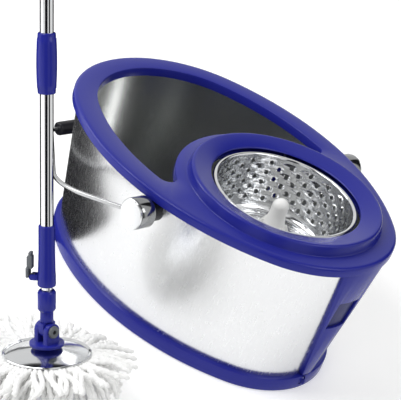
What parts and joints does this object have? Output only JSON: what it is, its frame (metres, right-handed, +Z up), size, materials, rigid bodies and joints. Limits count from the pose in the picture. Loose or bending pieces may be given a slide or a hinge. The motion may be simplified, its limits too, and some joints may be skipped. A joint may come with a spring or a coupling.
{
  "type": "spin mop",
  "caption": "Spin mop set: oval steel bucket with a plastic rim, a spinning wringer basket and a folding bail, with a round string mop on a telescopic twist-drive pole.",
  "frame": {"origin": "on the floor under the middle of the bucket", "axes": "+Z up, +X towards the basket end of the bucket, -Y towards the side that the mop stands on"},
  "size_m": [0.5577, 0.6383, 0.9677],
  "materials": {
    "blue_plastic": "moulded, satin gloss",
    "brushed_steel": "brushed lengthways",
    "bright_steel": "polished stainless",
    "chrome": "mirror plated",
    "grey_metal": "dark zinc casting",
    "grey_plastic": "fine matt",
    "black_plastic": "satin",
    "white_plastic": "smooth gloss",
    "zinc": "zinc plated",
    "bronze": "sintered",
    "black_rubber": "matt",
    "microfibre": "twisted looped yarn"
  },
  "bodies": {
    "bucket": {"base_tray": "blue_plastic", "tub_wall": "brushed_steel", "tub_bottom": "brushed_steel", "top_rim": "blue_plastic", "end_panel": "blue_plastic", "panel_screws": "zinc", "drain_seat": "black_rubber", "basket_cradle": "blue_plastic", "cradle_screws": "zinc", "spindle_bush": "bronze", "thrust_washer": "white_plastic", "bail_bracket_front": "black_plastic", "bail_bracket_rear": "black_plastic", "pivot_pins": "bright_steel"},
    "plug": {"drain_plug": "blue_plastic"},
    "spinner": {"basket_spindle": "bright_steel", "spin_basket": "bright_steel", "basket_hub": "white_plastic", "retaining_clip": "zinc"},
    "bail": {"bail_wire": "bright_steel", "boss_drum_front": "chrome", "boss_drum_rear": "chrome", "boss_cap_front": "brushed_steel", "boss_cap_rear": "brushed_steel"},
    "hand_grip": {"bail_grip": "black_plastic"},
    "mop_head": {"mop_strings": "microfibre", "string_ring": "blue_plastic", "mop_disc": "blue_plastic", "disc_cover": "chrome", "head_neck": "grey_metal"},
    "yoke": {"knuckle_yoke": "blue_plastic", "knuckle_pin": "bright_steel", "pivot_caps": "grey_plastic"},
    "shaft": {"stem": "blue_plastic", "collar_nut": "blue_plastic", "inner_tube": "chrome", "drive_nut": "white_plastic"},
    "bush": {"guide_bush": "white_plastic"},
    "handle": {"lower_sleeve": "blue_plastic", "lever_pin": "bright_steel", "outer_tube": "chrome", "twist_rod": "bright_steel", "rod_anchor": "black_plastic", "barrel_grip": "blue_plastic", "upper_tube": "chrome", "handle_grip": "blue_plastic", "end_cap": "blue_plastic"},
    "lever": {"lock_lever": "grey_plastic"}
  },
  "joints": [
    {"name": "basket_spin", "type": "hinge", "parent": "bucket", "child": "spinner", "pos_m": [0.098, 0, 0.14], "axis": [0, 0, 1], "continuous": true},
    {"name": "bail_swing", "type": "hinge", "parent": "bucket", "child": "bail", "pos_m": [0.041, 0, 0.187], "axis": [0, 1, 0], "range_deg": [0, 216]},
    {"name": "grip_spin", "type": "hinge", "parent": "bail", "child": "hand_grip", "pos_m": [-0.28711, 0, 0.08039], "axis": [0, 1, 0], "continuous": true},
    {"name": "drain_pull", "type": "slide", "parent": "bucket", "child": "plug", "axis": [1, 0, 0], "range_m": [0, 0.03]},
    {"name": "mop_lift", "type": "slide", "parent": "bucket", "child": "mop_head", "axis": [0, -0.3, 0.9539], "range_m": [0, 0.5]},
    {"name": "head_release", "type": "slide", "parent": "mop_head", "child": "yoke", "axis": [-0.3776, -0.0132, 0.9259], "range_m": [0, 0.03]},
    {"name": "pole_tilt", "type": "hinge", "parent": "yoke", "child": "shaft", "pos_m": [0.07005, -0.31804, 0.05885], "axis": [0.9253, 0.0323, 0.3778], "range_deg": [-20, 70]},
    {"name": "drive_push", "type": "slide", "parent": "shaft", "child": "bush", "axis": [-0.3776, -0.0132, 0.9259], "range_m": [0, 0.22]},
    {"name": "drive_spin", "type": "hinge", "parent": "bush", "child": "handle", "pos_m": [0.081, -0.31765, 0.032], "axis": [-0.3776, -0.0132, 0.9259], "range_deg": [0, 793]},
    {"name": "lever_swing", "type": "hinge", "parent": "handle", "child": "lever", "pos_m": [0.03258, -0.3291, 0.1147], "axis": [0.5593, -0.8001, 0.2167], "range_deg": [0, 110]}
  ],
  "couplings": [
    {"joint": "drive_spin", "follows": "drive_push", "rad_per_m": 62.832}
  ]
}
